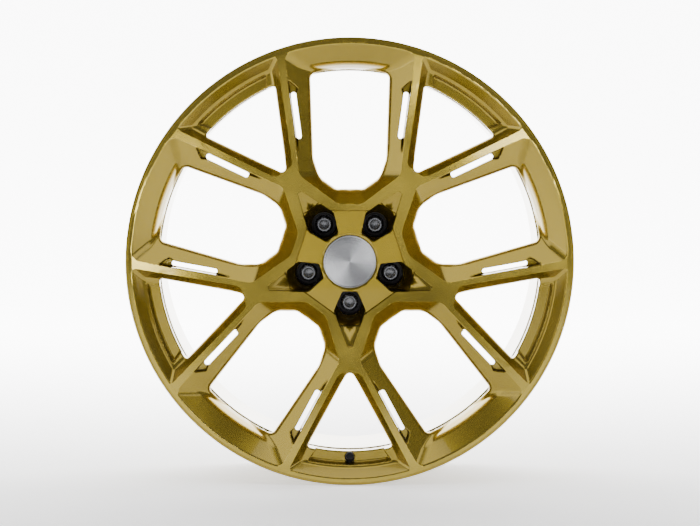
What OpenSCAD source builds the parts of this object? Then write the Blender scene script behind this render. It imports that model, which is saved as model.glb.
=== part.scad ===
// Forged 5-hole racing wheel rim, 21 x 9 inch, with its lug bolts, centring ring,
// centre cap and tyre valve.
// The wheel's axis is the Y axis, the outboard (street) side faces -Y and +Z is up.
// The origin lies on the axis at the middle of the rim's width.

/* [Rim] */
// Radius of the outer edge of both flanges
flange_r = 286.6; // [286:0.1:287.2]
// Radius of the bead seats at the foot of the flanges
bead_r = 269.1; // [268.8:0.1:269.4]
// Half the overall width over the flanges
half_width = 126.3; // [125.8:0.1:126.8]
// Half the width between the flanges' inner faces
half_bead_width = 114.3; // [113.8:0.1:114.8]
// Outer radius of the drop centre
well_r = 249; // [248.6:0.1:250]
// Wall thickness of the drop centre
well_wall = 4.4; // [4.2:0.1:5]
// Inner radius of the flat machined ring on the outboard flange
lip_r = 277.7; // [277:0.1:278.4]

/* [Hub] */
// Distance of the mounting face outboard of the rim's middle
offset_et = 30; // [28:1:32]
// Pitch circle diameter of the lug holes
pcd = 112; // [111:0.5:113]
// Number of lug holes, arms and window pairs
holes = 5; // [5:1:5]
// Radius of the flat mounting pad
pad_r = 76; // [75:1:78]
// Height of the painted hub face outboard of the rim's middle
hub_z = 116; // [115:0.5:117]
// Radius of the wheel's own centre bore
bore_r = 36.3; // [36:0.1:37]
// Radius of the hub that the centring ring fits
spigot_r = 33.3; // [32:0.1:33.5]

/* [Spokes] */
// Angle of each ridge to the arm's axis
ridge_angle = 28.4; // [28:0.1:28.8]
// Width of the machined ridge at the arm's fork
ridge_w_in = 6.4; // [6:0.1:7]
// Width of the machined ridge at the rim
ridge_w_out = 10.2; // [9.6:0.1:10.6]
// Slope of the blade that falls from the ridge to the wide window
blade_fall = 36; // [34:1:38]
// Slope of the bevel that falls from the ridge to the narrow window
bevel_fall = 52; // [50:1:54]
// Width of the through slot beside each ridge
slot_w = 6.6; // [6:0.1:7]

/* [Lug bolts] */
// Thread radius of a lug bolt
bolt_r = 7; // [6.8:0.1:7]
// Width across the flats of a bolt head
bolt_hex = 17; // [17:0.5:18]
// Length of thread behind the mounting face
bolt_reach = 26; // [24:1:28]
// Radius of the round well that a bolt head stands in
lug_well_r = 15.8; // [15.4:0.1:16]

/* [Centre cap] */
// Radius of the cap's aluminium disc
cap_r = 33.6; // [33.2:0.1:33.8]
// Thickness of the disc
cap_t = 1.8; // [1.6:0.1:2]

/* [Valve] */
// Lean of the valve towards the wheel's axis
valve_lean = 20; // [19:0.5:21]
// Radius of the valve hole
valve_hole_r = 5.65; // [5.6:0.05:5.7]

/* [Hidden] */
$fn = 96;
step = 360 / holes;
eps = 0.01;
gold = [0.62, 0.52, 0.20];

// Faces that the two halves of the rim and the windows share
joint_z = 74;
well_in = well_r - well_wall;
arm_z = hub_z + 2;
arm_r = 74;
cone_r = lip_r + 1;
rim_slope = (half_width - arm_z) / (cone_r - arm_r);
// Height of the turned outboard face at radius r, before it is milled
function face_z(r) = arm_z + (r - arm_r) * rim_slope;
// A plan point lifted onto that face
function on_face(p) = [p[0], p[1], face_z(norm(p))];

// Sector frame: the arm's axis is +Y, the plan is mirrored about it
fork = [10.2, 129.2];
along = [sin(ridge_angle), cos(ridge_angle)];
across = [cos(ridge_angle), -sin(ridge_angle)];
ridge_len = 150;
// Plan point at s along a ridge from the fork and t across it, towards the wide window
function spoke(s, t) = fork + s * along + t * across;
ridge_vee = [spoke(0, -ridge_w_in / 2), spoke(ridge_len, -ridge_w_out / 2)];
ridge_wide = [spoke(0, ridge_w_in / 2), spoke(ridge_len, ridge_w_out / 2)];
// Top edges of the hub star: the arm's side and the straight side between two arms
star_corner = [31.3, 69.3];
star_side = 74.5;
star_recess = 66;

// Corner p rounded to radius r, between the points before and after it
function corner(a, p, b, r, n = 6) =
    let (u = (a - p) / norm(a - p), v = (b - p) / norm(b - p))
    let (half = acos(u * v) / 2, m = (u + v) / norm(u + v))
    let (c = p + m * r / sin(half), t1 = p + u * r / tan(half), t2 = p + v * r / tan(half))
    let (a1 = atan2(t1[1] - c[1], t1[0] - c[0]), a2 = atan2(t2[1] - c[1], t2[0] - c[0]))
    let (turn = a2 - a1 > 180 ? a2 - a1 - 360 : a2 - a1 < -180 ? a2 - a1 + 360 : a2 - a1)
    [for (i = [0:n]) c + r * [cos(a1 + turn * i / n), sin(a1 + turn * i / n)]];
// Outline whose rows are [x, y, corner radius]
function rounded(rows) = [
    for (i = [0:len(rows) - 1])
        let (n = len(rows), a = rows[(i + n - 1) % n], p = rows[i], b = rows[(i + 1) % n])
        each p[2] == 0 ? [[p[0], p[1]]]
            : corner([a[0], a[1]], [p[0], p[1]], [b[0], b[1]], p[2])
];
function mirrored(rows) = concat(
    rows, [for (i = [len(rows) - 1:-1:0]) [-rows[i][0], rows[i][1], rows[i][2]]]
);

// Everything is modelled with the outboard side up and then turned into place
module in_place() {
    rotate([90, 0, 0]) children();
}

module at_arm(k) {
    rotate([0, 0, 180 + k * step]) children();
}

module at_each_arm() {
    for (k = [0:holes - 1]) at_arm(k) children();
}

module at_each_gap() {
    for (k = [0:holes - 1]) rotate([0, 0, 180 + (k + 0.5) * step]) children();
}

module both_sides() {
    children();
    mirror([1, 0, 0]) children();
}

// All that lies above the plane through the line from p to q, falling to its right
module above(p, q, fall) {
    v = q - p;
    translate(p)
        rotate([0, 0, atan2(v[1], v[0])])
            rotate([0, -atan2(v[2], norm([v[0], v[1]])), 0])
                rotate([fall, 0, 0])
                    translate([-400, -400, 0])
                        cube([800, 800, 400]);
}

module block(z0, z1, outline) {
    translate([0, 0, z0]) linear_extrude(z1 - z0) polygon(outline);
}

// Turned blank of the face: hub, disc, outboard flange, bead seat and hump
module face_blank() {
    rotate_extrude($fn = 180)
        polygon([
            [0, arm_z], [arm_r, arm_z],
            [cone_r, half_width], [flange_r - 1.8, half_width], [flange_r, half_width - 1.8],
            [flange_r, half_width - 7], [flange_r - 2, half_bead_width + 1.3],
            [flange_r - 5.6, half_bead_width], [bead_r + 3.5, half_bead_width],
            [bead_r + 0.5, half_bead_width - 1.3], [bead_r - 0.2, half_bead_width - 3.3],
            [bead_r - 1.7, 94.5], [bead_r - 1.3, 93], [bead_r - 0.2, 91],
            [bead_r - 1.1, 89], [bead_r - 3.6, 88], [well_r + 2.5, 82.9],
            [well_r, 80], [well_r, joint_z], [well_in, joint_z], [well_in, 94],
            [112, 90], [90, 70], [pad_r + 3, 36], [pad_r, offset_et], [0, offset_et]
        ]);
}

// Room over the wide window: dished rim, falling blades and the star's sides
module wide_room() {
    a = ridge_wide;
    outer = [for (s = [-1, 1]) on_face([s * 18, star_side])];
    intersection() {
        rotate_extrude($fn = 180)
            polygon([
                [0, 60], [well_in + 0.4, 60], [well_in + 0.4, 82], [253, 106], [260, 112],
                [lip_r, half_width], [lip_r, half_width + 9], [0, half_width + 9]
            ]);
        arm_planes(a);
        above(outer[0], outer[1], -50);
    }
}

// All above the blades and the star's sides, seen from the wide window's own axis
module arm_planes(a) {
    turn = step / 2;
    intersection() {
        rotate([0, 0, turn]) above(on_face(a[0]), on_face(a[1]), blade_fall);
        mirror([1, 0, 0])
            rotate([0, 0, turn]) above(on_face(a[0]), on_face(a[1]), blade_fall);
        rotate([0, 0, turn]) above(on_face(star_corner), on_face(a[0]), 50);
        mirror([1, 0, 0])
            rotate([0, 0, turn]) above(on_face(star_corner), on_face(a[0]), 50);
    }
}

// The wide through window, +Y along its own axis
module wide_window() {
    rows = [[17, 92.5, 6], [39, 108, 22], [46.6, 132, 30], [50.4, 238, 9], [0, 250, 0]];
    intersection() {
        block(20, 140, rounded(mirrored(rows)));
        cylinder(r = well_in + 0.4, h = 150, $fn = 180);
    }
}

// Room over the narrow window: dished rim, bevels beside the ridges and the pocket floor
module vee_room() {
    fork_end = 143;
    intersection() {
        rotate_extrude($fn = 180)
            polygon([
                [0, 95], [244, 95], [244, 112], [264.5, 112], [lip_r, half_width],
                [lip_r, half_width + 9], [0, half_width + 9]
            ]);
        above(on_face(ridge_vee[0]), on_face(ridge_vee[1]), -bevel_fall);
        mirror([1, 0, 0])
            above(on_face(ridge_vee[0]), on_face(ridge_vee[1]), -bevel_fall);
        above(on_face([-8, fork_end]), on_face([8, fork_end]), -bevel_fall);
    }
    intersection() {
        rotate_extrude($fn = 180)
            polygon([
                [235, 70], [well_in + 0.4, 70], [well_in + 0.4, 94], [well_in + 3, 97],
                [260, 97], [262.5, 112], [262.5, 120], [235, 120]
            ]);
        block(60, 125, [[42, 240], [58.5, 262], [0, 275], [-58.5, 262], [-42, 240]]);
    }
}

// The narrow through window, +Y along the arm's axis
module vee_window() {
    rows = [[-56, 240, 0], [0, 137.2, 13.5], [56, 240, 0]];
    intersection() {
        block(20, 140, rounded(rows));
        cylinder(r = well_in + 0.4, h = 150, $fn = 180);
    }
}

// Slot between a ridge and its blade, with the milled trench that it opens from
module blade_slot() {
    ends = [49.3, 102.5];
    mid = 9.4;
    both_sides() {
        for (s = ends)
            translate([spoke(s, mid)[0], spoke(s, mid)[1], 20])
                cylinder(r = slot_w / 2, h = 120, $fn = 32);
        block(20, 140, [
            spoke(ends[0], mid - slot_w / 2), spoke(ends[1], mid - slot_w / 2),
            spoke(ends[1], mid + slot_w / 2), spoke(ends[0], mid + slot_w / 2)
        ]);
        block(100, 140, [
            spoke(27, 5.2), spoke(42, 4.6), spoke(121, 5.4), spoke(110, 16),
            spoke(104, 13.2), spoke(46, 13.2), spoke(36, 12)
        ]);
    }
}

// Lug pocket of one arm: kite pocket, ramp, half cone, round well, cone seat and hole
module lug_pocket() {
    intersection() {
        block(80, 140, [
            [-9.6, 38.4], [9.6, 38.4], [20.2, 62.7], [17.6, 70.5], [3.2, 110], [-3.2, 110],
            [-17.6, 70.5], [-20.2, 62.7]
        ]);
        above([-8, 84, 102], [8, 84, 102], 24);
    }
    block(88, 140, [
        [-9.4, 38.6], [9.4, 38.6], [20, 62.7], [13, 84], [-13, 84], [-20, 62.7]
    ]);
    translate([0, pcd / 2, 0]) {
        intersection() {
            translate([0, 0, 70]) cylinder(r1 = lug_well_r, r2 = 28, h = 18.1);
            block(60, 100, [
                [-9.4, -17.3], [9.4, -17.3], [20, 6.7], [13, 28], [-13, 28], [-20, 6.7]
            ]);
        }
        translate([0, 0, seat_z]) cylinder(r = lug_well_r, h = 80);
        translate([0, 0, seat_z - seat_h]) cylinder(r1 = seat_r2, r2 = seat_r1, h = seat_h + eps);
        translate([0, 0, offset_et - 1]) cylinder(r = bolt_r + 0.6, h = 60);
    }
}

// Cone seat of a lug hole: 60 degree cone
seat_z = 49;
seat_r1 = 12.6;
seat_h = 7;
seat_r2 = seat_r1 - seat_h * tan(30);

// Valve: plan radius and height of the point where its axis meets the tyre side
valve_foot = [259, 85.64];
spot_t = 12.4;

module at_valve() {
    at_arm(0)
        translate([0, valve_foot[0], valve_foot[1]])
            rotate([valve_lean, 0, 0])
                children();
}

// Radius of the cored hub between the spigot's seat and the cap's step
core_r = 32;
spigot_depth = 12;
// Step that the cap's claws snap behind: from step_z up to throat_z
step_z = 96;
throat_z = 106;
claw_z = 102.2;
claw_h = 2.8;
skirt_r = 28.8;
skirt_in = 26.6;
skirt_z = 100.6;
cap_plate_t = 2.2;
disc_z = hub_z - 0.6;

module centre_bores() {
    translate([0, 0, offset_et - 1]) cylinder(r = bore_r, h = spigot_depth + 1);
    translate([0, 0, offset_et + spigot_depth - 0.5])
        cylinder(r = core_r, h = step_z + 1.5 - offset_et - spigot_depth);
    translate([0, 0, step_z]) cylinder(r = skirt_r + 0.2, h = throat_z - step_z);
    translate([0, 0, claw_z - 2.2]) cylinder(r = skirt_r + 1.4, h = throat_z - claw_z + 2.2);
    translate([0, 0, throat_z - eps]) cylinder(r = skirt_r + 0.5, h = 10);
    translate([0, 0, hub_z - 3]) cylinder(r = cap_r + 0.4, h = 10);
}

// Weight-saving pocket in the back of the pad, between two lug holes
module rear_pocket() {
    rows = [[9, 47, 6], [18, 69, 6]];
    translate([0, 0, 20]) linear_extrude(72) polygon(rounded(mirrored(rows)));
}

// Painted hub face, sunk inside the star's raised border
module hub_recess() {
    rotate([0, 0, -90])
        translate([0, 0, hub_z])
            cylinder(r = star_recess / cos(180 / holes), h = 20, $fn = holes);
}

// Channel milled in the back of a ridge
module ridge_channel() {
    both_sides()
        block(60, 107, [spoke(6, -7), spoke(118, -7), spoke(118, 1.5), spoke(6, 1.5)]);
}

module forged_face() {
    color(gold)
        in_place()
            difference() {
                face_blank();
                hub_recess();
                at_each_gap() {
                    wide_room();
                    wide_window();
                    rear_pocket();
                }
                at_each_arm() {
                    vee_room();
                    vee_window();
                    blade_slot();
                    ridge_channel();
                    lug_pocket();
                }
                centre_bores();
                at_valve() {
                    translate([0, 0, -5]) cylinder(r = valve_hole_r, h = 40);
                    translate([0, 0, spot_t]) cylinder(r = 7.6, h = 12);
                }
            }
}

// Barrel behind the face: drop centre, inboard bead seat with its hump, and flange
module flow_formed_barrel() {
    color(gold * 0.9)
        in_place()
            rotate_extrude($fn = 180)
                polygon([
                    [well_in, joint_z], [well_r, joint_z], [well_r, -58], [well_r + 2, -66],
                    [well_r + 9, -80], [bead_r - 3.6, -87],
                    [bead_r - 1.1, -89], [bead_r - 0.2, -91], [bead_r - 1.3, -93],
                    [bead_r - 1.7, -94.5], [bead_r - 0.2, 3.3 - half_bead_width],
                    [bead_r + 0.5, 1.3 - half_bead_width], [bead_r + 3.5, -half_bead_width],
                    [flange_r - 5.6, -half_bead_width], [flange_r - 2, -half_bead_width - 1.3],
                    [flange_r, 7 - half_width], [flange_r, 1.8 - half_width],
                    [flange_r - 1.8, -half_width], [flange_r - 11, -half_width],
                    [bead_r - 1.4, -half_width + 6], [bead_r - 6.2, -half_width + 13],
                    [bead_r - 7.2, -96], [well_r + 5, -84], [well_r - 1, -70],
                    [well_in, -60]
                ]);
}

module hub_centring_ring() {
    color("dimgray")
        in_place()
            translate([0, 0, offset_et + 0.5])
                difference() {
                    cylinder(r = bore_r - 0.05, h = spigot_depth - 1);
                    translate([0, 0, -1]) cylinder(r = spigot_r, h = spigot_depth + 2);
                }
}

// Bolt head: washer flange, then the hexagon with its chamfered top
head_z = seat_z + 2.2;
flange_t = 2.6;
hex_top = 16;
// Pointed end of the thread, and the plain neck that passes through the wheel
tip = 1.5;
neck_r = 6.6;

module lug_bolt(k) {
    color([0.2, 0.2, 0.22])
        in_place()
            at_arm(k - 1)
                translate([0, pcd / 2, 0]) {
                    translate([0, 0, offset_et - bolt_reach])
                        cylinder(r1 = bolt_r - 1, r2 = bolt_r, h = tip);
                    translate([0, 0, offset_et - bolt_reach + tip])
                        cylinder(r = bolt_r, h = bolt_reach - tip - 0.2);
                    translate([0, 0, offset_et - 1])
                        cylinder(r = neck_r, h = head_z - offset_et + 1 + eps);
                    translate([0, 0, head_z]) cylinder(r = 11.4, h = flange_t);
                    intersection() {
                        translate([0, 0, head_z + flange_t])
                            cylinder(d = bolt_hex / cos(30), h = hex_top - flange_t, $fn = 6);
                        union() {
                            translate([0, 0, head_z]) cylinder(r = 12, h = hex_top - 2);
                            translate([0, 0, head_z + hex_top - 2 - eps])
                                cylinder(r1 = 10.6, r2 = 7.6, h = 2 + eps);
                        }
                    }
                }
}

module bolt_collar(k) {
    gap = 0.06;
    play = 0.04;
    lift = 0.2;
    color([0.12, 0.12, 0.13])
        in_place()
            at_arm(k - 1)
                translate([0, pcd / 2, seat_z + gap])
                    difference() {
                        union() {
                            cylinder(r = seat_r1 - play, h = 2.08);
                            translate([0, 0, lift - seat_h])
                                cylinder(
                                    r1 = seat_r2 + lift * tan(30) - play,
                                    r2 = seat_r1 - play, h = seat_h - lift
                                );
                        }
                        translate([0, 0, -10]) cylinder(r = bolt_r + 0.1, h = 20);
                    }
}

module cap_disc() {
    cap_edge = 0.5;
    color("silver")
        in_place()
            translate([0, 0, disc_z]) {
                cylinder(r = cap_r, h = cap_t - cap_edge);
                translate([0, 0, cap_t - cap_edge])
                    cylinder(r1 = cap_r, r2 = cap_r - cap_edge, h = cap_edge);
            }
}

// Plastic carrier of the disc: plate, skirt and six claws that snap behind the bore's step
module cap_body() {
    claws = 6;
    claw_gap = 10;
    plate_z = disc_z - cap_plate_t;
    color([0.1, 0.1, 0.1])
        in_place() {
            translate([0, 0, plate_z]) cylinder(r = cap_r - 0.1, h = cap_plate_t);
            difference() {
                union() {
                    translate([0, 0, skirt_z]) cylinder(r = skirt_r, h = plate_z - skirt_z + 0.4);
                    translate([0, 0, claw_z]) cylinder(r = skirt_r + 0.35, h = claw_h);
                }
                translate([0, 0, skirt_z - 1])
                    cylinder(r = skirt_in, h = plate_z - skirt_z + 0.4);
                for (i = [0:claws - 1])
                    rotate([0, 0, i * 360 / claws])
                        translate([0, -claw_gap / 2, skirt_z - 1])
                            cube([40, claw_gap, plate_z - skirt_z - 1.2]);
            }
        }
}

module cap_spring_ring() {
    wire_r = 0.9;
    color("silver")
        in_place()
            translate([0, 0, claw_z + claw_h / 2])
                rotate_extrude()
                    translate([skirt_in - wire_r, 0]) circle(r = wire_r, $fn = 24);
}

// Valve parts stand on their own axis: 0 is the tyre side of the rim, up is outboard
stem_r = 3.85;
nut_z = spot_t + 1.2;
cap_z = 18.4;
stem_top = 24.6;

module valve_body() {
    color([0.15, 0.15, 0.15])
        in_place()
            at_valve()
                difference() {
                    union() {
                        translate([0, 0, -6]) cylinder(r = 6.6, h = 3.5);
                        translate([0, 0, -2.6]) cylinder(r = stem_r, h = stem_top + 2.6);
                    }
                    translate([0, 0, 8]) cylinder(r = 2.4, h = 30);
                    translate([0, 0, -8]) cylinder(r = 1.4, h = 30);
                }
}

module valve_seal() {
    color([0.05, 0.05, 0.05])
        in_place()
            at_valve()
                difference() {
                    union() {
                        translate([0, 0, -2.5]) cylinder(r = 7, h = 2.5);
                        cylinder(r = valve_hole_r - 0.02, h = 6);
                    }
                    translate([0, 0, -4]) cylinder(r = stem_r + 0.02, h = 12);
                }
}

module valve_washer() {
    color([0.3, 0.3, 0.3])
        in_place()
            at_valve()
                translate([0, 0, spot_t])
                    difference() {
                        cylinder(r = 6.4, h = 1.2);
                        translate([0, 0, -1]) cylinder(r = stem_r + 0.15, h = 4);
                    }
}

module valve_nut() {
    color([0.25, 0.25, 0.25])
        in_place()
            at_valve()
                translate([0, 0, nut_z])
                    difference() {
                        intersection() {
                            cylinder(d = 11 / cos(30), h = 4.6, $fn = 6);
                            union() {
                                cylinder(r = 8, h = 3.8);
                                translate([0, 0, 3.8]) cylinder(r1 = 6.4, r2 = 5.4, h = 1);
                            }
                        }
                        translate([0, 0, -1]) cylinder(r = stem_r + 0.02, h = 8);
                    }
}

module valve_core() {
    color("gold")
        in_place()
            at_valve() {
                translate([0, 0, 10]) cylinder(r = 1.9, h = 8);
                translate([0, 0, 18]) cylinder(r = 2.38, h = 4.6);
                translate([0, 0, 22.6]) cylinder(r = 0.8, h = 1.7);
            }
}

module valve_cap() {
    color([0.08, 0.08, 0.08])
        in_place()
            at_valve()
                difference() {
                    union() {
                        translate([0, 0, cap_z]) cylinder(r = 4.9, h = 7.2);
                        translate([0, 0, cap_z + 7.2]) cylinder(r1 = 4.9, r2 = 4.1, h = 0.8);
                    }
                    translate([0, 0, cap_z - 1]) cylinder(r = stem_r + 0.06, h = stem_top - cap_z + 1.3);
                }
}

forged_face();
flow_formed_barrel();
hub_centring_ring();
lug_bolt(1);  // lug_bolt_1
lug_bolt(2);  // lug_bolt_2
lug_bolt(3);  // lug_bolt_3
lug_bolt(4);  // lug_bolt_4
lug_bolt(5);  // lug_bolt_5
bolt_collar(1);  // bolt_collar_1
bolt_collar(2);  // bolt_collar_2
bolt_collar(3);  // bolt_collar_3
bolt_collar(4);  // bolt_collar_4
bolt_collar(5);  // bolt_collar_5
cap_disc();
cap_body();
cap_spring_ring();
valve_body();
valve_seal();
valve_washer();
valve_nut();
valve_core();
valve_cap();
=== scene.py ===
import math

import bmesh
import bpy
import numpy as np
from mathutils import Matrix, Vector


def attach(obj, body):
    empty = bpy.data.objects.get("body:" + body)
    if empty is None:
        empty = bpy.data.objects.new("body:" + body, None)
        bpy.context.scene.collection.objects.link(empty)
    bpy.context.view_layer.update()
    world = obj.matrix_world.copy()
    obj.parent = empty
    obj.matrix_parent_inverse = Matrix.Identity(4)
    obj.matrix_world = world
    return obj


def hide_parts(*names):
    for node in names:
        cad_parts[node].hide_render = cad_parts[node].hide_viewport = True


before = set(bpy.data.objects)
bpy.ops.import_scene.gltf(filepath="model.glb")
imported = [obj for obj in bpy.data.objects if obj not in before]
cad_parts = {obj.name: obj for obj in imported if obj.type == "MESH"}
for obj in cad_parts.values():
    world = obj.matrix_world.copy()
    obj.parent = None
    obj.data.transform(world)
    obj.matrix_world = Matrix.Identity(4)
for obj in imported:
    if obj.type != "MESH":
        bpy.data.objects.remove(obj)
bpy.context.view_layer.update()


MM = 0.001
rad = math.radians

# ---------------------------------------------------------------- dimensions, mm
# Local frame: z outboard along the wheel's axis, +y along an arm, x across it.
ARMS = 5
HALF = rad(36)
ARM_Z, ARM_R, CONE_R, LIP_Z = 118.0, 74.0, 278.7, 126.3
RIM_SLOPE = (LIP_Z - ARM_Z) / (CONE_R - ARM_R)
EASE = 24.0
WINDOW_R = 245.0
FORK = (10.2, 129.2)
RIDGE = rad(28.4)
SLOT_START, SLOT_END, SLOT_SIDE, SLOT_R = 49.3, 102.5, 9.4, 3.3
TRENCH_FLOOR, CHANNEL_TOP, CHANNEL_FOOT, POCKET_TOP = 100, 107, 60, 92
ALONG = (math.sin(RIDGE), math.cos(RIDGE))
ACROSS = (math.cos(RIDGE), -math.sin(RIDGE))
PCD_R = 56.0
RAMP_FOOT, STEP_Z, HALF_CONE_Z = 80, 88, 70
WELL_R, WELL_Z, SEAT_R, SEAT_FOOT, LUG_HOLE_R = 15.8, 49, 12.6, 42, 7.6
HALF_CONE_SLOPE = 12.2 / 18.1
HALF_CONE_SCALE = 0.83
HUB_Z, HUB_DROP = 116.0, 0.5
RING_R, CORE_R, THROAT_R, GROOVE_R, CLAW_R, CAP_R = 36.3, 32.0, 29.0, 30.2, 29.3, 34.0
OFFSET = 30.0
VALVE_R, VALVE_Z, VALVE_LEAN = 259.0, 85.64, rad(20)


def face_z(r):
    """The turned cone, easing into the flat hub over a few centimetres."""
    d = r - ARM_R
    return ARM_Z + 0.5 * (d + np.sqrt(d * d + EASE * EASE)) * RIM_SLOPE


def spoke(s, t):
    return (FORK[0] + s * ALONG[0] + t * ACROSS[0], FORK[1] + s * ALONG[1] + t * ACROSS[1])


def on_face(p):
    return (p[0], p[1], ARM_Z + (math.hypot(*p) - ARM_R) * RIM_SLOPE)


# ---------------------------------------------------------------- signed distances
def round_max(a, b, r):
    u, v = np.maximum(a + r, 0), np.maximum(b + r, 0)
    return np.minimum(-r, np.maximum(a, b)) + np.sqrt(u * u + v * v)


def round_min(a, b, r):
    return -round_max(-a, -b, r)


def falling(p, q, fall):
    """Height over the plane through p and q that falls to the right of the line."""
    az = math.atan2(q[1] - p[1], q[0] - p[0])
    el = math.atan2(q[2] - p[2], math.hypot(q[0] - p[0], q[1] - p[1]))
    f = rad(fall)
    a, b, c = -math.cos(f) * math.sin(el), -math.sin(f), math.cos(f) * math.cos(el)
    n = (a * math.cos(az) - b * math.sin(az), a * math.sin(az) + b * math.cos(az), c)
    k = n[0] * p[0] + n[1] * p[1] + n[2] * p[2]
    return n, k


def over(plane, x, y, z):
    (a, b, c), k = plane
    return (a * x + b * y - k) + c * z


def left_of(p, q, x, y):
    """Distance to the left of the line from p to q."""
    dx, dy = q[0] - p[0], q[1] - p[1]
    n = math.hypot(dx, dy)
    return (-dy * (x - p[0]) + dx * (y - p[1])) / n


def convex(points, x, y, radius=0.0):
    """Distance outside a convex outline given anticlockwise."""
    d = None
    for i, p in enumerate(points):
        e = -left_of(p, points[(i + 1) % len(points)], x, y)
        d = e if d is None else (round_max(d, e, radius) if radius else np.maximum(d, e))
    return d


def outline(points, x, y):
    """Exact signed distance to a closed outline."""
    best, inside = None, False
    n = len(points)
    for i in range(n):
        (ax, ay), (bx, by) = points[i], points[(i + 1) % n]
        ex, ey = bx - ax, by - ay
        wx, wy = x - ax, y - ay
        t = np.clip((wx * ex + wy * ey) / (ex * ex + ey * ey), 0, 1)
        d = (wx - ex * t) ** 2 + (wy - ey * t) ** 2
        best = d if best is None else np.minimum(best, d)
        if ey:
            cross = ((ay > y) != (by > y)) & (wx < ex * wy / ey)
            inside = inside ^ cross
    return np.where(inside, -1.0, 1.0) * np.sqrt(best)


def rounded(rows, n=5):
    """Outline from rows x, y, corner radius."""
    out = []
    for i, (px, py, r) in enumerate(rows):
        if not r:
            out.append((px, py))
            continue
        p = Vector((px, py))
        a, b = Vector(rows[i - 1][:2]) - p, Vector(rows[(i + 1) % len(rows)][:2]) - p
        a.normalize()
        b.normalize()
        half = a.angle(b) / 2
        c = p + (a + b).normalized() * (r / math.sin(half))
        s, e = p + a * (r / math.tan(half)) - c, p + b * (r / math.tan(half)) - c
        s0 = math.atan2(s.y, s.x)
        turn = (math.atan2(e.y, e.x) - s0 + math.pi) % (2 * math.pi) - math.pi
        out += [(c.x + r * math.cos(s0 + turn * k / n), c.y + r * math.sin(s0 + turn * k / n))
                for k in range(n + 1)]
    return out


BLANK = rounded([
    (20, ARM_Z + 1.5, 0), (ARM_R, ARM_Z + 1.5, 0), (CONE_R - 10, LIP_Z + 1.1, 0),
    (276.2, LIP_Z + 1.2, 0), (277.2, LIP_Z + 0.02, 0.2), (286.6, LIP_Z - 0.05, 1.6),
    (286.6, 119.0, 3), (284.2, 115.2, 2), (281, 114.3, 2), (271.4, 114.3, 2.4), (268.9, 111, 2),
    (267.4, 94.5, 1), (268.9, 91, 1.6), (267.6, 88.6, 1.6), (263, 87.2, 4), (251.5, 82.9, 3),
    (249, 80, 2), (249, 74, 0), (244.6, 74, 0), (244.6, 94, 4), (112, 90, 20), (90, 70, 12),
    (79, 36, 3), (76, OFFSET, 0.8), (20, OFFSET, 0)])

# Planes of the wide room, the star and the narrow room, in the arm's own plan
BLADE = falling(on_face(spoke(0, 3.2)), on_face(spoke(150, 5.1)), 36)
STAR_SIDE = falling(on_face((31.3, 69.3)), on_face(spoke(0, 3.2)), 50)
BEVEL = falling(on_face(spoke(0, -3.2)), on_face(spoke(150, -5.1)), -52)
FORK_END = falling(on_face((-8, 143)), on_face((8, 143)), -52)
GAP = (math.sin(HALF), math.cos(HALF))
STAR_END = falling(on_face((-18, 74.5)), on_face((18, 74.5)), -50)
RAMP = falling((-8, 84, 102), (8, 84, 102), 24)


def plan(x, y):
    """Distances that depend on the plan only, for points of the half sector."""
    xg, yg = x * GAP[1] - y * GAP[0], x * GAP[0] + y * GAP[1]
    xg = np.abs(xg)
    r = np.sqrt(x * x + y * y)
    p = {"yg": yg, "xg": xg}
    # wide window, along its own axis
    w = round_max(92.5 - yg, -left_of((17, 92.5), (39, 108), xg, yg), 1.7)
    w = round_max(w, -left_of((39, 108), (46.6, 132), xg, yg), 3.9)
    w = round_max(w, -left_of((46.6, 132), (50.4, 238), xg, yg), 1.0)
    p["wide"] = round_max(w, r - WINDOW_R, 6.5)
    side = -left_of((0, 137.2), (56, 240), x, y)
    other = left_of((0, 137.2), (-56, 240), x, y)
    p["vee"] = round_max(round_max(side, other, 10.0), r - WINDOW_R, 5.0)
    s = (x - FORK[0]) * ALONG[0] + (y - FORK[1]) * ALONG[1]
    t = (x - FORK[0]) * ACROSS[0] + (y - FORK[1]) * ACROSS[1]
    q = np.clip(s, SLOT_START, SLOT_END)
    p["slot"] = np.sqrt((s - q) ** 2 + (t - SLOT_SIDE) ** 2) - SLOT_R
    trench = convex([(27, 5.0), (42, 4.6), (121, 5.3), (112, 14.2), (104, 13.4), (46, 13.2),
                     (36, 12)], s, t, 2.2)
    tail = convex([(100, 5.0), (121, 5.3), (110, 16), (102, 12.6)], s, t, 1.6)
    p["trench"] = round_min(trench, tail, 2.0)
    p["channel"] = convex([(6, -7), (118, -7), (118, 1.5), (6, 1.5)], s, t, 2.0)
    ax = np.abs(x)
    k1 = np.maximum(38.4 - y, y - 110)
    k1 = round_max(k1, left_of((20.2, 62.7), (9.6, 38.4), ax, y), 1.5)
    k1 = round_max(k1, left_of((17.6, 70.5), (20.2, 62.7), ax, y), 0.8)
    p["kite"] = round_max(k1, left_of((3.2, 110), (17.6, 70.5), ax, y), 0.6)
    k2 = np.maximum(38.6 - y, y - 84)
    k2 = round_max(k2, left_of((20, 62.7), (9.4, 38.6), ax, y), 1.5)
    p["lower"] = round_max(k2, left_of((13, 84), (20, 62.7), ax, y), 0.8)
    p["well"] = np.sqrt(x * x + (y - PCD_R) ** 2)
    p["pocket"] = round_max(left_of((58.5, 262), (42, 240), ax, y), y - 274.0, 2.0)
    rear = np.maximum(47 - yg, yg - 69)
    p["rear"] = round_max(rear, left_of((18, 69), (9, 47), xg, yg), 4.0)
    return p


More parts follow.
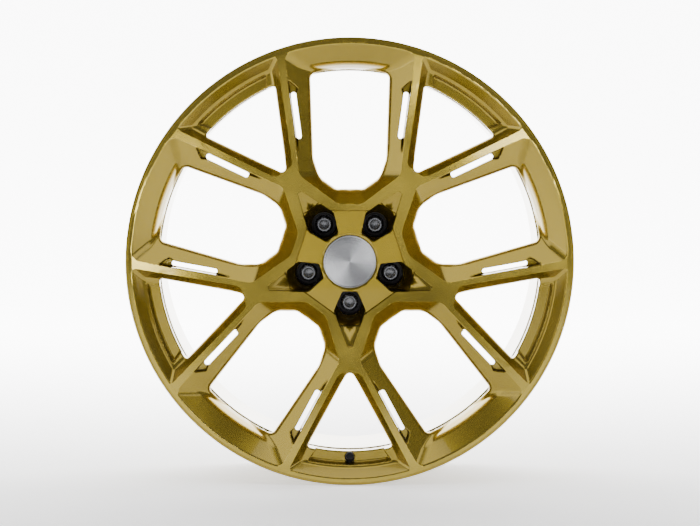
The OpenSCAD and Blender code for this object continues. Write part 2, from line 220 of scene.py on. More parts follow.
def profile(r, z):
    """Distances that depend on radius and height only."""
    p = {"blank": outline(BLANK, r, z)}
    dish = -left_of((260, 112), (277.7, LIP_Z), r, z)
    wall = -left_of((245, 82), (253, 106), r, z)
    p["dish"] = np.maximum(round_min(round_min(dish, wall, 3.2), r - WINDOW_R, 1.5), 60 - z)
    vee_dish = round_max(-left_of((264.5, 112), (277.7, LIP_Z), r, z), 112 - z, 2.5)
    p["vee_dish"] = round_min(vee_dish, np.maximum(r - 244.0, 95 - z), 1.2)
    pocket = round_max(-left_of((260, 97), (262.5, 112), r, z), 97 - z, 2.2)
    p["pocket"] = round_min(pocket, np.maximum(r - WINDOW_R, 70 - z), 1.5)
    bore = np.minimum(np.maximum(r - RING_R, z - 42), np.maximum(r - CORE_R, z - 97.5))
    bore = np.minimum(bore, np.maximum(r - THROAT_R, z - 106))
    bore = np.minimum(bore, np.maximum(np.maximum(r - GROOVE_R, 100 - z), z - 106))
    bore = np.minimum(bore, np.maximum(r - CLAW_R, 105 - z))
    p["bore"] = np.minimum(bore, np.maximum(r - CAP_R, 113 - z))
    p["cone"] = z - face_z(r)
    return p


def field(x, y, r, z):
    """Signed distance of the forged face in the half sector, negative in the metal."""
    p, q = plan(x, y), profile(r, z)
    f = q["blank"]
    # hub: sunk pentagon, lug pocket, bores
    f = round_max(f, -np.maximum(p["yg"] - 66.0 - (z - 118) * 0.5, HUB_Z - HUB_DROP - z), 0.25)
    room = round_max(q["dish"], -over(BLADE, x, y, z), 5.0)
    room = round_max(room, -over(STAR_SIDE, x, y, z), 3.0)
    ends = -over(STAR_END, p["xg"], p["yg"], z)
    room = round_max(room, ends, 2.5)
    f = round_max(f, -room, 0.9)
    vee = round_max(q["vee_dish"], -over(BEVEL, x, y, z), 3.5)
    vee = round_max(vee, -over(BEVEL, -x, y, z), 3.5)
    vee = round_max(vee, -over(FORK_END, x, y, z), 4.0)
    f = round_max(f, -vee, 0.9)
    pocket = round_max(q["pocket"], p["pocket"], 2.5)
    f = round_max(f, -pocket, 1.2)
    f = round_max(f, -p["wide"], 4.2)
    f = round_max(f, -p["vee"], 2.6)
    f = round_max(f, -round_max(p["trench"], TRENCH_FLOOR - z, 2.4), 1.4)
    f = round_max(f, -p["slot"], 0.8)
    channel = round_max(round_max(p["channel"], z - CHANNEL_TOP, 2.0), CHANNEL_FOOT - z, 2.0)
    f = round_max(f, -channel, 1.5)
    ramp = round_max(round_max(p["kite"], -over(RAMP, x, y, z), 1.0), RAMP_FOOT - z, 1.0)
    f = round_max(f, -ramp, 0.8)
    f = round_max(f, -round_max(p["lower"], STEP_Z - z, 1.2), 0.8)
    cone = (p["well"] - WELL_R - (z - HALF_CONE_Z) * HALF_CONE_SLOPE) * HALF_CONE_SCALE
    cone = round_max(np.maximum(cone, HALF_CONE_Z - z), p["lower"], 0.6)
    f = round_max(f, -cone, 0.9)
    f = round_max(f, -np.maximum(p["well"] - WELL_R, WELL_Z - z), 0.8)
    seat = (p["well"] - SEAT_R - (z - WELL_Z) * math.tan(rad(30))) * 0.866
    f = np.maximum(f, -np.maximum(np.maximum(seat, SEAT_FOOT - z), z - (WELL_Z + 1)))
    f = np.maximum(f, LUG_HOLE_R - p["well"])
    f = round_max(f, -round_max(p["rear"], z - POCKET_TOP, 3.0), 1.5)
    f = round_max(f, -q["bore"], 0.5)
    return np.maximum(f, q["cone"])


# ---------------------------------------------------------------- contouring
GRID_STEP, GRID_ANGLES = 1.35, 126
MEAN_PULL = 0.04


def grid_field(rs, ts, zs):
    x = (rs[:, None] * np.sin(ts)[None, :])[:, :, None]
    y = (rs[:, None] * np.cos(ts)[None, :])[:, :, None]
    return field(x, y, rs[:, None, None], zs[None, None, :])


def at_points(p):
    return field(p[:, 0], p[:, 1], np.hypot(p[:, 0], p[:, 1]), p[:, 2])


def gradient(p, e=0.04):
    g = np.empty_like(p)
    for a in range(3):
        d = np.zeros(3)
        d[a] = e
        g[:, a] = at_points(p + d) - at_points(p - d)
    n = np.linalg.norm(g, axis=1, keepdims=True)
    return g / np.maximum(n, 1e-9)


def contour():
    """Dual contouring of the half sector on a grid of radius, angle and height."""
    rs = np.arange(27.2, 289.5, GRID_STEP)
    ts = (np.arange(GRID_ANGLES + 2) - 0.5) * (HALF / GRID_ANGLES)
    zs = np.arange(28.3, 129.5, GRID_STEP)
    f = grid_field(rs, ts, zs)
    f = np.where(np.abs(f) < 1e-7, 1e-7, f)
    inside = f < 0
    axes = (rs, ts, zs)
    shape = np.array(f.shape)
    cells = shape - 1
    pts, starts, quads, flips = [], [], [], []
    for a in range(3):
        lo = [slice(None)] * 3
        hi = [slice(None)] * 3
        lo[a], hi[a] = slice(0, -1), slice(1, None)
        cross = inside[tuple(lo)] != inside[tuple(hi)]
        b, c = (a + 1) % 3, (a + 2) % 3
        idx = np.argwhere(cross)
        ok = ((idx[:, b] > 0) & (idx[:, b] < cells[b]) & (idx[:, c] > 0) & (idx[:, c] < cells[c]))
        idx = idx[ok]
        nxt = idx.copy()
        nxt[:, a] += 1
        f0, f1 = f[tuple(idx.T)], f[tuple(nxt.T)]
        c0 = np.stack([axes[k][idx[:, k]] for k in range(3)], 1)
        c1 = np.stack([axes[k][nxt[:, k]] for k in range(3)], 1)

        def place(u):
            g = c0 + (c1 - c0) * u[:, None]
            return np.stack([g[:, 0] * np.sin(g[:, 1]), g[:, 0] * np.cos(g[:, 1]), g[:, 2]], 1)

        u0, u1 = np.zeros(len(idx)), np.ones(len(idx))
        a0, a1 = f0.copy(), f1.copy()
        u = f0 / (f0 - f1)
        for _ in range(3):
            v = at_points(place(u))
            same = (v < 0) == (a0 < 0)
            u0, a0 = np.where(same, u, u0), np.where(same, v, a0)
            u1, a1 = np.where(same, u1, u), np.where(same, a1, v)
            w = a0 / np.where(np.abs(a0 - a1) < 1e-12, 1e-12, a0 - a1)
            u = u0 + (u1 - u0) * np.clip(w, 0.05, 0.95)
        pts.append(place(u))
        four = []
        for db, dc in ((-1, -1), (0, -1), (0, 0), (-1, 0)):
            k = idx.copy()
            k[:, b] += db
            k[:, c] += dc
            four.append((k[:, 0] * cells[1] + k[:, 1]) * cells[2] + k[:, 2])
        quads.append(np.stack(four, 1))
        flips.append(f0 > 0)
    p = np.concatenate(pts)
    q = np.concatenate(quads)
    flip = np.concatenate(flips)
    n = gradient(p)
    used, where = np.unique(q.ravel(), return_inverse=True)
    q = where.reshape(q.shape)
    m = len(used)
    cnt = np.zeros(m)
    mean = np.zeros((m, 3))
    spread = np.zeros((m, 3, 3))
    g = np.zeros((m, 3))
    pn = (p * n).sum(1)
    for k in range(4):
        i = q[:, k]
        cnt += np.bincount(i, minlength=m)
        for a in range(3):
            mean[:, a] += np.bincount(i, p[:, a], m)
            g[:, a] += np.bincount(i, n[:, a] * pn, m)
            for b in range(3):
                spread[:, a, b] += np.bincount(i, n[:, a] * n[:, b], m)
    mean /= cnt[:, None]
    spread += np.eye(3) * MEAN_PULL
    v = np.linalg.solve(spread, (g + MEAN_PULL * mean)[:, :, None])[:, :, 0]
    # keep every vertex in its own cell and on the two mirror planes
    ci, rest = used // (cells[1] * cells[2]), used % (cells[1] * cells[2])
    ti, zi = rest // cells[2], rest % cells[2]
    vr, vt = np.hypot(v[:, 0], v[:, 1]), np.arctan2(v[:, 0], v[:, 1])
    vr = np.clip(vr, rs[ci], rs[ci + 1])
    vt = np.clip(vt, ts[ti], ts[ti + 1])
    vz = np.clip(v[:, 2], zs[zi], zs[zi + 1])
    vt = np.where(ti == 0, 0.0, np.where(ti == cells[1] - 1, HALF, vt))
    v = np.stack([vr * np.sin(vt), vr * np.cos(vt), vz], 1)
    q = np.where(flip[:, None], q, q[:, ::-1])
    return v, q


def mesh_from(name, verts, faces):
    me = bpy.data.meshes.new(name)
    faces = np.asarray(faces, np.int32)
    n, k = faces.shape
    me.vertices.add(len(verts))
    me.vertices.foreach_set("co", np.asarray(verts, np.float32).ravel())
    me.loops.add(n * k)
    me.loops.foreach_set("vertex_index", faces.ravel())
    me.polygons.add(n)
    me.polygons.foreach_set("loop_start", np.arange(0, n * k, k, dtype=np.int32))
    me.update(calc_edges=True)
    me.validate()
    return me


def put(name, me):
    ob = bpy.data.objects.new(name, me)
    bpy.context.scene.collection.objects.link(ob)
    return ob


def baked(ob):
    """The object's mesh with its modifiers applied; the object keeps nothing else."""
    bpy.context.view_layer.update()
    me = bpy.data.meshes.new_from_object(ob.evaluated_get(bpy.context.evaluated_depsgraph_get()))
    ob.modifiers.clear()
    ob.data = me
    return me


def read(me):
    me.calc_loop_triangles()
    v = np.zeros(len(me.vertices) * 3, np.float32)
    me.vertices.foreach_get("co", v)
    t = np.zeros(len(me.loop_triangles) * 3, np.int32)
    me.loop_triangles.foreach_get("vertices", t)
    return v.reshape(-1, 3).astype(float), t.reshape(-1, 3)


def half_sector(limit):
    v, q = contour()
    ob = put("half", mesh_from("half", v, q))
    tris = 2 * len(q)
    mod = ob.modifiers.new("d", "DECIMATE")
    mod.ratio = min(1.0, limit / tris)
    mod.use_collapse_triangulate = True
    v, t = read(baked(ob))
    bpy.data.objects.remove(ob)
    # boundary vertices back onto the mirror planes
    e = np.sort(np.concatenate([t[:, [0, 1]], t[:, [1, 2]], t[:, [2, 0]]]), axis=1)
    key = e[:, 0].astype(np.int64) * len(v) + e[:, 1]
    u, c = np.unique(key, return_counts=True)
    edge = u[c == 1]
    rim = np.unique(np.concatenate([edge // len(v), edge % len(v)]))
    r, th = np.hypot(v[rim, 0], v[rim, 1]), np.arctan2(v[rim, 0], v[rim, 1])
    th = np.where(th > HALF / 2, HALF, 0.0)
    v[rim, 0], v[rim, 1] = r * np.sin(th), r * np.cos(th)
    return v, t


def turned(p, a):
    """Plan rotation by a, anticlockwise."""
    c, s = math.cos(a), math.sin(a)
    return np.stack([p[:, 0] * c - p[:, 1] * s, p[:, 0] * s + p[:, 1] * c, p[:, 2]], 1)


def to_row(p):
    """Local millimetres to the row frame in metres."""
    return np.stack([p[:, 0], -p[:, 2], p[:, 1]], 1) * MM


def arm_angle(k):
    return math.pi + k * 2 * math.pi / ARMS


def cylinder_mesh(rings, n=64):
    """Closed lathe solid of the (r, z) rings, whose ends lie on the axis."""
    a = np.linspace(0, 2 * math.pi, n, endpoint=False)
    v = [np.stack([r * np.cos(a), r * np.sin(a), np.full(n, z)], 1) for r, z in rings]
    v = np.concatenate(v + [np.array([[0, 0, rings[0][1]], [0, 0, rings[-1][1]]])])
    m = len(rings)
    f = []
    for j in range(m - 1):
        for i in range(n):
            k = (i + 1) % n
            f += [(j * n + i, j * n + k, (j + 1) * n + k), (j * n + i, (j + 1) * n + k, (j + 1) * n + i)]
    for i in range(n):
        k = (i + 1) % n
        f += [(m * n, k, i), (m * n + 1, (m - 1) * n + i, (m - 1) * n + k)]
    return v, np.array(f)


def valve_frame(p):
    """Points on the valve's own axis to the local frame of the wheel."""
    c, s = math.cos(VALVE_LEAN), math.sin(VALVE_LEAN)
    q = np.stack([p[:, 0], p[:, 1] * c - p[:, 2] * s + VALVE_R, p[:, 1] * s + p[:, 2] * c + VALVE_Z], 1)
    return turned(q, arm_angle(0))


def shade(me, normals):
    me.shade_smooth()
    me.normals_split_custom_set(normals)


def fold(p):
    """Any point of the wheel into the half sector, with what unfolds a normal again."""
    a = np.arctan2(p[:, 0], p[:, 1]) + math.pi
    k = np.round(a / (2 * HALF))
    b = a - k * 2 * HALF
    r = np.hypot(p[:, 0], p[:, 1])
    return np.stack([r * np.sin(np.abs(b)), r * np.cos(b), p[:, 2]], 1), k, np.where(b < 0, -1.0, 1.0)


def forged_face():
    v, t = half_sector(19600)
    m = v * np.array([-1, 1, 1])
    vs, ts = [], []
    for k in range(ARMS):
        for part, tri in ((v, t), (m, t[:, ::-1])):
            ts.append(tri + sum(len(w) for w in vs))
            vs.append(turned(part, arm_angle(k)))
    me = mesh_from("wheel_face", np.concatenate(vs), np.concatenate(ts))
    bm = bmesh.new()
    bm.from_mesh(me)
    bmesh.ops.remove_doubles(bm, verts=[w for w in bm.verts if w.is_boundary], dist=2e-3)
    bm.to_mesh(me)
    bm.free()
    ob = put("wheel_face", me)
    cut = cylinder_mesh([(5.65, -8), (5.65, 12.0), (6.0, 12.4), (7.6, 12.4), (7.6, 40)], 72)
    cutter = put("cut", mesh_from("cut", valve_frame(cut[0]), cut[1]))
    mod = ob.modifiers.new("b", "BOOLEAN")
    mod.operation = "DIFFERENCE"
    mod.solver = "MANIFOLD"
    mod.object = cutter
    v, t = read(baked(ob))
    bpy.data.objects.remove(cutter)
    me = mesh_from("wheel_face", to_row(v), t)
    v, t = read(me)
    v = np.stack([v[:, 0], v[:, 2], -v[:, 1]], 1) / MM
    # corner normals from the distance field, taken a little inside each face
    tri = v[t]
    mid = tri.mean(1, keepdims=True)
    d = mid - tri
    n = np.linalg.norm(d, axis=2, keepdims=True)
    p = (tri + d * np.minimum(0.3, 0.35 / np.maximum(n, 1e-9))).reshape(-1, 3)
    q, k, sign = fold(p)
    g = gradient(q)
    off = np.abs(at_points(q))
    g[:, 0] *= sign
    a = -k * 2 * HALF + math.pi
    c, s = np.cos(a), np.sin(a)
    g = np.stack([g[:, 0] * c - g[:, 1] * s, g[:, 0] * s + g[:, 1] * c, g[:, 2]], 1)
    flat = np.cross(tri[:, 1] - tri[:, 0], tri[:, 2] - tri[:, 0])
    flat /= np.maximum(np.linalg.norm(flat, axis=1, keepdims=True), 1e-9)
    flat = np.repeat(flat, 3, axis=0)
    bad = (off > 0.25) | ((g * flat).sum(1) < 0.35)
    g[bad] = flat[bad]
    shade(me, np.stack([g[:, 0], -g[:, 2], g[:, 1]], 1))
    c = fold(mid[:, 0])[0]
    # faces deep in the lug wells take the second slot: near-black painted shade for the counterbore's shadow
    well = (np.hypot(c[:, 0], c[:, 1] - PCD_R) < 16.3) & (c[:, 2] < 87.5) & (c[:, 2] > OFFSET + 0.5)
    me.materials.append(None)
    me.materials.append(None)
    me.polygons.foreach_set("material_index", well.astype(np.int32))
    ob.data = me
    return ob


# ---------------------------------------------------------------- turned and milled parts
def finished(name, me, sharp):
    """Merges doubled points, turns all faces outwards and keeps corners over sharp degrees."""
    bm = bmesh.new()
    bm.from_mesh(me)
    bmesh.ops.remove_doubles(bm, verts=bm.verts, dist=1e-7)
    bmesh.ops.recalc_face_normals(bm, faces=bm.faces)
    bm.to_mesh(me)
    bm.free()
    me.shade_smooth()
    me.set_sharp_from_angle(angle=rad(sharp))
    return put(name, me)


def turn_profile(name, rows, n=256, place=None, ripple=None):
    """Closed (r, z) outline turned about the axis, shaded smooth with sharp corners kept."""
    pts = np.array(rows)
    m = len(pts)
    a = np.linspace(0, 2 * math.pi, n, endpoint=False)
    r = np.repeat(pts[:, 0][:, None], n, 1)
    if ripple is not None:
        r = ripple(r, pts[:, 1][:, None], a[None, :])
    v = np.stack([r * np.cos(a), r * np.sin(a), np.repeat(pts[:, 1][:, None], n, 1)], 2).reshape(-1, 3)
    j, i = np.meshgrid(np.arange(m), np.arange(n), indexing="ij")
    j2, i2 = (j + 1) % m, (i + 1) % n
    f = np.stack([j * n + i, j * n + i2, j2 * n + i2, j2 * n + i], 2).reshape(-1, 4)
    if place is not None:
        v = place(v)
    return finished(name, mesh_from(name, to_row(v), f), 32)


def barrel():
    rows = rounded([
        (244.6, 74, 0), (249, 74, 0), (249, -58, 14), (251, -66, 14), (258, -80, 8),
        (265.5, -87, 3), (268, -89.4, 1.5), (268.9, -91.2, 1.5), (267.5, -94.6, 1.5),
        (268.9, -111, 2), (271.4, -114.3, 2.4), (281, -114.3, 2), (284.4, -115.5, 2),
        (286.6, -119.3, 3), (286.6, -126.3, 1.8), (275.6, -126.3, 2.5), (267.7, -120.3, 4),
        (262.9, -113.3, 5), (261.9, -96, 6), (254, -84, 8), (248, -70, 12), (244.6, -60, 14)], 5)
    return turn_profile("wheel_barrel", rows, 360)


SIDES = 72
PITCH, BOLT_R, THREAD_DEPTH = 1.5, 7.0, 0.92
TIP_Z, THREAD_END = 4.0, 29.8


def hex_rings(across, z0, z1, top_r, foot=0.35):
    """Rings of a hexagon with a chamfered top, as functions of the angle."""
    n = SIDES
    a = np.linspace(0, 2 * math.pi, n, endpoint=False)
    b = (a + math.pi / 6) % (math.pi / 3) - math.pi / 6
    flat = across / 2 / np.cos(b)
    flat = np.minimum(flat, across / 2 / math.cos(math.pi / 6) - 0.12)
    drop = np.maximum(flat - top_r, 0) * math.tan(rad(34))
    rings = [(flat - foot, np.full(n, z0)), (flat, np.full(n, z0 + foot)), (flat, z1 - drop - 0.12),
             (flat - 0.16, z1 - drop + 0.02), (np.full(n, top_r), np.full(n, z1))]
    return a, rings


def ring_mesh(name, a, rings, place, close_ends=True):
    n, m = len(a), len(rings)
    v = [np.stack([r * np.cos(a), r * np.sin(a), z * np.ones(n)], 1) for r, z in rings]
    f = []
    for j in range(m - 1):
        for i in range(n):
            k = (i + 1) % n
            f.append((j * n + i, j * n + k, (j + 1) * n + k, (j + 1) * n + i))
    v = np.concatenate(v)
    if close_ends:
        v = np.concatenate([v, [[0, 0, np.mean(rings[0][1])], [0, 0, np.mean(rings[-1][1])]]])
        for i in range(n):
            k = (i + 1) % n
            f.append((m * n, k, i, i))
            f.append((m * n + 1, (m - 1) * n + i, (m - 1) * n + k, (m - 1) * n + k))
    else:
        for i in range(n):
            k = (i + 1) % n
            f.append(((m - 1) * n + i, (m - 1) * n + k, k, i))
    me = bpy.data.meshes.new(name)
    me.from_pydata(to_row(place(v)).tolist(), [], [tuple(dict.fromkeys(q)) for q in f])
    return finished(name, me, 28)


def levels(*rows):
    """Round rings of SIDES points from rows of radius, height."""
    return [(np.full(SIDES, r), np.full(SIDES, z)) for r, z in rows]


def thread_rings(a):
    """Rings of the bolt's thread, which runs out at both ends and has a tapered tip."""
    rings = []
    for z in np.arange(TIP_Z, THREAD_END + 0.01, PITCH / 8):
        u = (z / PITCH - a / (2 * math.pi)) % 1.0
        tooth = np.clip(np.abs(u - 0.5) * 2.5 - 0.25, 0, 1)
        start = np.clip((z - TIP_Z) / 1.6, 0, 1)
        depth = THREAD_DEPTH * tooth
        ends = start * np.clip((THREAD_END - z) / 1.5, 0, 1)
        rings.append((BOLT_R - np.maximum(depth * ends, 1.0 * (1 - start)), np.full(SIDES, z)))
    return rings


def lug_bolt(k):
    """One bolt: M14 x 1.5 thread, plain neck, washer flange, chamfered hexagon."""
    angle = arm_angle(k - 1)
    a, head = hex_rings(17.0, 53.8, 67.2, 8.35)
    rings = levels((4.6, TIP_Z)) + thread_rings(a)
    rings += levels((6.6, 30.2), (6.6, 50.4), (BOLT_R, 51.2), (11.0, 51.2), (11.4, 51.6), (11.4, 52.6),
                    (11.1, 53.0), (10.2, 53.5))
    rings.append((head[0][0] + 0.5, np.full(SIDES, 53.7)))
    rings += [(head[1][0], np.full(SIDES, 54.3))] + head[2:]
    rings += levels((6.7, 67.2), (5.7, 66.3), (2.0, 65.4))

    def place(p):
        return turned(p + np.array([0, PCD_R, 0]), angle)

    return ring_mesh(f"bolt_{k}_steel", a, rings, place)


def valve_nut():
    a, rings = hex_rings(11.0, 13.6, 18.2, 5.2)
    rings += levels((4.3, 18.2), (3.9, 17.8), (3.9, 14.0), (4.3, 13.6))
    return ring_mesh("valve_nut_milled", a, rings, valve_frame, close_ends=False)


def valve_cap():
    rows = rounded([(0.001, 26.2, 0), (2.6, 26.4, 0.4), (4.0, 26.4, 0.5), (4.9, 25.6, 0.5),
                    (4.9, 24.6, 0.2), (4.86, 19.4, 0.2), (4.9, 18.4, 0.3), (4.1, 18.4, 0.2),
                    (3.91, 18.8, 0.1), (3.91, 24.8, 0.3), (0.001, 24.8, 0)], 3)
    z = np.linspace(24.4, 19.6, 9)
    rows = [p for p in rows if not (4.8 < p[0] and 19.5 < p[1] < 24.5)]
    at = max(i for i, p in enumerate(rows) if p[1] > 24.4 and p[0] > 4.8) + 1
    rows[at:at] = [(4.88, float(w)) for w in z]

    def ripple(r, z, a):
        grip = (r > 4.8) * np.clip((z - 19.3) * 2, 0, 1) * np.clip((24.7 - z) * 2, 0, 1)
        return r - 0.22 * grip * (0.5 + 0.5 * np.cos(28 * a))

    return turn_profile("valve_cap_knurled", rows, 168, valve_frame, ripple)


def cap_disc():
    z = HUB_Z - 0.6
    rows = rounded([(0.001, z + 0.02, 0), (33.4, z, 0.2), (33.6, z + 0.3, 0.2), (33.6, z + 1.35, 0.3),
                    (33.1, z + 1.8, 0.3), (32.4, z + 1.8, 0.3), (31.9, z + 1.55, 0.3),
                    (31.2, z + 1.55, 0.3), (30.8, z + 1.75, 0.3), (12, z + 1.78, 0), (0.001, z + 1.78, 0)], 4)
    return turn_profile("cap_disc_spun", rows, 256)


# ---------------------------------------------------------------- materials
class Nodes:
    """A material's node tree with short calls to add and join nodes."""

    def __init__(self, name):
        self.mat = bpy.data.materials.new(name)
        self.mat.use_nodes = True
        self.tree = self.mat.node_tree
        self.tree.nodes.clear()
        self.out = self.add("ShaderNodeOutputMaterial")
        self.bsdf = self.add("ShaderNodeBsdfPrincipled")
        self.join(self.bsdf.outputs[0], self.out.inputs["Surface"])

    def add(self, kind, **props):
        node = self.tree.nodes.new(kind)
        for k, v in props.items():
            setattr(node, k, v)
        return node

    def join(self, a, b):
        self.tree.links.new(a, b)

    def set(self, **values):
        for k, v in values.items():
            sock = self.bsdf.inputs[k.replace("_", " ")]
            if hasattr(v, "is_output"):
                self.join(v, sock)
            else:
                sock.default_value = v

    def math(self, op, a, b=None, c=None, clamp=False):
        node = self.add("ShaderNodeMath", operation=op, use_clamp=clamp)
        for i, v in enumerate((a, b, c)):
            if v is None:
                continue
            if hasattr(v, "is_output"):
                self.join(v, node.inputs[i])
            else:
                node.inputs[i].default_value = v
        return node.outputs[0]

    def noise(self, scale, detail=3.0, vector=None, rough=0.5):
        node = self.add("ShaderNodeTexNoise")
        node.inputs["Scale"].default_value = scale
        node.inputs["Detail"].default_value = detail
        node.inputs["Roughness"].default_value = rough
        if vector is not None:
            self.join(vector, node.inputs["Vector"])
        return node.outputs["Fac"]

    def spread(self, value, a, b, lo=0.3, hi=0.7):
        """Maps lo..hi of value to a..b."""
        node = self.add("ShaderNodeMapRange")
        self.join(value, node.inputs["Value"])
        for k, v in (("From Min", lo), ("From Max", hi), ("To Min", a), ("To Max", b)):
            node.inputs[k].default_value = v
        return node.outputs["Result"]

    def blend(self, fac, a, b):
        node = self.add("ShaderNodeMix", data_type="RGBA")
        ins = [s for s in node.inputs if s.type == "RGBA"]
        facs = [s for s in node.inputs if s.type == "VALUE"]
        if hasattr(fac, "is_output"):
            self.join(fac, facs[0])
        else:
            facs[0].default_value = fac
        for sock, v in zip(ins, (a, b)):
            if hasattr(v, "is_output"):
                self.join(v, sock)
            else:
                sock.default_value = (*v, 1.0)
        return [s for s in node.outputs if s.type == "RGBA"][0]

    def bump(self, height, strength, distance):
        node = self.add("ShaderNodeBump")
        node.inputs["Strength"].default_value = strength
        node.inputs["Distance"].default_value = distance
        self.join(height, node.inputs["Height"])
        return node.outputs["Normal"]

    def place(self):
        """Object position, its radius about the wheel's axis, and its angle."""
        tex = self.add("ShaderNodeTexCoord")
        xyz = self.add("ShaderNodeSeparateXYZ")
        self.join(tex.outputs["Object"], xyz.inputs[0])
        x, y, z = xyz.outputs
        r = self.math("SQRT", self.math("ADD", self.math("MULTIPLY", x, x), self.math("MULTIPLY", z, z)))
        return tex.outputs["Object"], x, y, z, r, self.math("ARCTAN2", z, x)


GOLD_MID, GOLD_WARM, GOLD_PALE = (0.225, 0.160, 0.010), (0.260, 0.185, 0.014), (0.56, 0.45, 0.12)


def gold_paint():
    m = Nodes("gold_clear_coat")
    pos, x, y, z, r, ang = m.place()
    flake = m.noise(5200, 1.0, pos)
    cloud = m.noise(9, 3.0, pos)
    height = m.math("MULTIPLY", y, -1.0)
    d = m.math("SUBTRACT", r, ARM_R * MM)
    eased = m.math("SQRT", m.math("ADD", m.math("MULTIPLY", d, d), (EASE * MM) ** 2))
    rise = m.math("MULTIPLY", m.math("ADD", d, eased), 0.5)
    cone = m.math("ADD", m.math("MULTIPLY", rise, RIM_SLOPE), ARM_Z * MM)
    flat = m.math("LESS_THAN", m.math("ABSOLUTE", m.math("SUBTRACT", cone, height)), 0.00022)
    body = m.blend(m.spread(cloud, 0, 1), GOLD_MID, GOLD_WARM)
    body = m.blend(m.spread(flake, 0.0, 0.22, 0.6, 0.85), body, GOLD_PALE)
    color = m.blend(m.math("MULTIPLY", flat, 0.35), body, (0.48, 0.37, 0.06))
    cuts = m.add("ShaderNodeCombineXYZ")
    m.join(r, cuts.inputs[0])
    turn = m.math("MULTIPLY", m.noise(6000, 1.0, cuts.outputs[0]), flat)
    peel = m.noise(240, 2.0, pos)
    tall = m.math("ADD", m.math("MULTIPLY", peel, 0.5), m.math("MULTIPLY", turn, 0.12))
    rough = m.math("SUBTRACT", m.spread(cloud, 0.20, 0.27), m.math("MULTIPLY", flat, 0.13))
    m.set(Base_Color=color, Metallic=0.86, Roughness=rough, Normal=m.bump(tall, 0.07, 0.0002),
          Coat_Weight=0.45, Coat_Roughness=0.03, Coat_IOR=1.5)
    return m.mat


def simple(name, color, metallic, rough, grain=400, depth=0.0001, tint=0.15, coat=0.0, strength=0.3):
    """Worn or moulded surface: noise in colour, roughness and height."""
    m = Nodes(name)
    pos = m.place()[0]
    fine, broad = m.noise(grain, 4.0, pos), m.noise(grain / 12, 3.0, pos)
    lighter = tuple(min(1.0, c * (1 + tint) + tint * 0.02) for c in color)
    m.set(Base_Color=m.blend(m.spread(broad, 0, 1), color, lighter), Metallic=metallic,
          Roughness=m.spread(fine, rough * 0.85, min(1.0, rough * 1.2)),
          Normal=m.bump(fine, strength, depth), Coat_Weight=coat, Coat_Roughness=0.1)
    return m.mat


def spun_metal():
    m = Nodes("spun_disc")
    pos, x, y, z, r, ang = m.place()
    v = m.add("ShaderNodeCombineXYZ")
    m.join(m.math("MULTIPLY", r, 1.0), v.inputs[0])
    grooves = m.noise(9000, 2.0, v.outputs[0])
    tangent = m.add("ShaderNodeTangent", direction_type="RADIAL", axis="Y")
    m.join(tangent.outputs[0], m.bsdf.inputs["Tangent"])
    # painted highlight: bright radial fans set by the disc's angle stand in for the spun-metal reflection,
    # mixed with real groove tone
    painted_fan_highlight = m.math("ABSOLUTE", m.math("COSINE", m.math("SUBTRACT", ang, 0.5)))
    fan_highlight_and_grooves = m.math("ADD", m.math("POWER", painted_fan_highlight, 3.0), m.math("MULTIPLY", m.spread(grooves, 0, 1), 0.25))
    m.set(Base_Color=m.blend(fan_highlight_and_grooves, (0.13, 0.132, 0.137), (0.50, 0.505, 0.52)), Metallic=1.0,
          Roughness=m.spread(grooves, 0.20, 0.32), Anisotropic=0.92,
          Normal=m.bump(grooves, 0.25, 0.00004))
    return m.mat


def brushed(name, color, rough=0.3):
    m = Nodes(name)
    pos, x, y, z, r, ang = m.place()
    stretch = m.add("ShaderNodeMapping")
    stretch.inputs["Scale"].default_value = (1, 9, 1)
    m.join(pos, stretch.inputs["Vector"])
    grain = m.noise(700, 4.0, stretch.outputs[0])
    m.set(Base_Color=m.blend(m.spread(grain, 0, 1), color, tuple(min(1, c * 1.4 + 0.01) for c in color)),
          Metallic=1.0, Roughness=m.spread(grain, rough * 0.8, rough * 1.3),
          Normal=m.bump(grain, 0.3, 0.00006))
    return m.mat


# ---------------------------------------------------------------- the wheel's pieces
def dress(ob, mat, body=None, node=None, second=None):
    if second:
        ob.data.materials[0], ob.data.materials[1] = mat, second
    else:
        ob.data.materials.clear()
        ob.data.materials.append(mat)
    if body:
        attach(ob, body)
    if node:
        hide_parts(node)
    return ob


GOLD = gold_paint()
STEEL = brushed("bolt_zinc", (0.105, 0.108, 0.115), 0.24)
ANODISED = simple("black_anodised", (0.018, 0.018, 0.020), 0.7, 0.34, 900, 0.00004)
# painted shade: the deep lug wells drawn near-black where their shadow falls
WELL_PAINTED_SHADE = simple("well_painted_shade", (0.012, 0.011, 0.010), 0.3, 0.45, 900, 0.00005)
dress(forged_face(), GOLD, "wheel", "forged_face", WELL_PAINTED_SHADE)
dress(barrel(), GOLD, "wheel", "flow_formed_barrel")
for k in range(1, ARMS + 1):
    dress(lug_bolt(k), STEEL, f"bolt_{k}", f"lug_bolt_{k}")
dress(cap_disc(), spun_metal(), "centre_cap", "cap_disc")
dress(valve_nut(), ANODISED, "wheel", "valve_nut")
dress(valve_cap(), ANODISED, "valve_cap", "valve_cap")

COLLAR = brushed("collar_black", (0.022, 0.022, 0.023), 0.42)
PLASTIC = simple("moulded_black", (0.022, 0.022, 0.023), 0.0, 0.52, 700, 0.00006)
kept = {
    "hub_centring_ring": simple("ring_nylon", (0.05, 0.05, 0.055), 0.0, 0.55, 500, 0.00006),
    "cap_body": PLASTIC,
    "cap_spring_ring": brushed("spring_wire", (0.42, 0.42, 0.44), 0.26),
    "valve_body": ANODISED,
    "valve_washer": ANODISED,
    "valve_seal": simple("rubber_seal", (0.012, 0.012, 0.012), 0.0, 0.68, 600, 0.00008),
    "valve_core": brushed("turned_brass", (0.62, 0.42, 0.16), 0.25),
}
for k in range(1, ARMS + 1):
    kept[f"bolt_collar_{k}"] = COLLAR
for name, mat in kept.items():
    dress(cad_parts[name], mat)

# ---------------------------------------------------------------- stage, light, camera
FLOOR_Z = -286.6 * MM


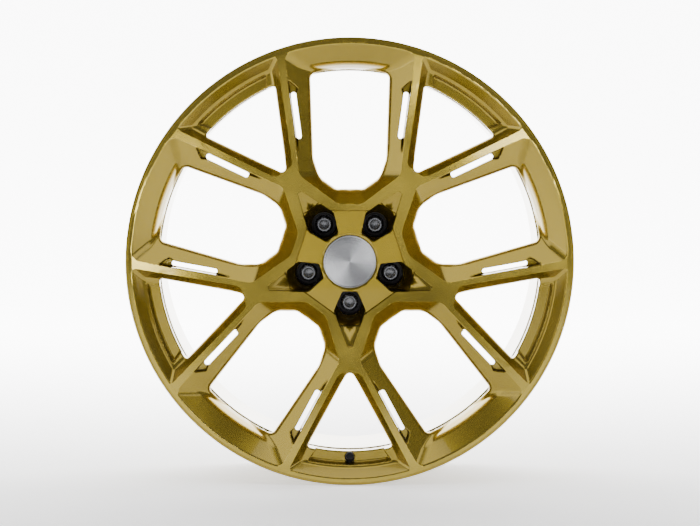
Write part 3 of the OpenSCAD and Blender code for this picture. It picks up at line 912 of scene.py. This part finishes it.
def sweep():
    """Floor that curves up into a backdrop behind the wheel."""
    w, front, back, bend, high = 9.0, -3.9, 5.0, 2.5, 8.0
    line = [(front, FLOOR_Z), (back - bend, FLOOR_Z)]
    line += [(back - bend + bend * math.sin(a), FLOOR_Z + bend * (1 - math.cos(a)))
             for a in np.linspace(0, math.pi / 2, 25)[1:]]
    line.append((back, high))
    me = bpy.data.meshes.new("sweep")
    v = [(s * w, y, z) for y, z in line for s in (-1, 1)]
    me.from_pydata(v, [], [(2 * i, 2 * i + 1, 2 * i + 3, 2 * i + 2) for i in range(len(line) - 1)])
    me.shade_smooth()
    return put("sweep", me)


floor = sweep()
m = Nodes("pale_paper")
pos, x, y = m.place()[:3]
tone = m.noise(1.2, 2.0, pos)
glow = m.add("ShaderNodeMapRange", interpolation_type="SMOOTHSTEP")
m.join(y, glow.inputs["Value"])
for k, v in (("From Min", -0.6), ("From Max", 2.4), ("To Min", 0.25), ("To Max", 8.0)):
    glow.inputs[k].default_value = v
m.set(Base_Color=m.blend(m.spread(tone, 0, 1), (0.86, 0.86, 0.86), (0.88, 0.88, 0.88)), Roughness=0.9,
      Emission_Color=(1.0, 1.0, 1.0, 1.0), Emission_Strength=glow.outputs["Result"])
floor.data.materials.append(m.mat)


def panel(name, at, target, size, power):
    light = bpy.data.lights.new(name, "AREA")
    light.shape = "RECTANGLE"
    light.size, light.size_y = size
    light.energy = power
    ob = put(name, light)
    ob.location = at
    ob.rotation_euler = (Vector(target) - Vector(at)).to_track_quat("-Z", "Y").to_euler()
    return ob


panel("top_box", (0.0, -0.9, 2.4), (0, 0, 0), (2.6, 1.8), 34)
panel("left_box", (-2.4, -1.2, 0.7), (0, 0, 0), (1.1, 2.0), 17)
panel("right_box", (2.3, -1.9, 1.4), (0, 0, 0), (1.0, 1.8), 13)
panel("left_card", (-0.26, -3.0, -0.12), (-0.26, 0, -0.12), (0.24, 0.15), 1.3)
panel("right_card", (0.20, -3.0, -0.01), (0.20, 0, -0.01), (0.17, 0.13), 1.1)

world = bpy.data.worlds.new("studio")
bpy.context.scene.world = world
world.use_nodes = True
sky = world.node_tree.nodes["Background"]
sky.inputs["Color"].default_value = (0.95, 0.96, 1.0, 1)
sky.inputs["Strength"].default_value = 0.26

DIST, AZ, EL = 3.75, rad(-0.46), rad(3.3)
target = Vector((0.0, -126.3 * MM, 0.0))
eye = target + DIST * Vector((math.sin(AZ) * math.cos(EL), -math.cos(AZ) * math.cos(EL), math.sin(EL)))
cam = bpy.data.cameras.new("view")
cam.sensor_width = 36.0
cam.lens = 36.0 * DIST / 0.8936
cam.shift_x = 0.1 / 700
cam.shift_y = -0.8 / 700
camera = put("view", cam)
camera.location = eye
camera.rotation_euler = (target - eye).to_track_quat("-Z", "Y").to_euler()
bpy.context.scene.camera = camera
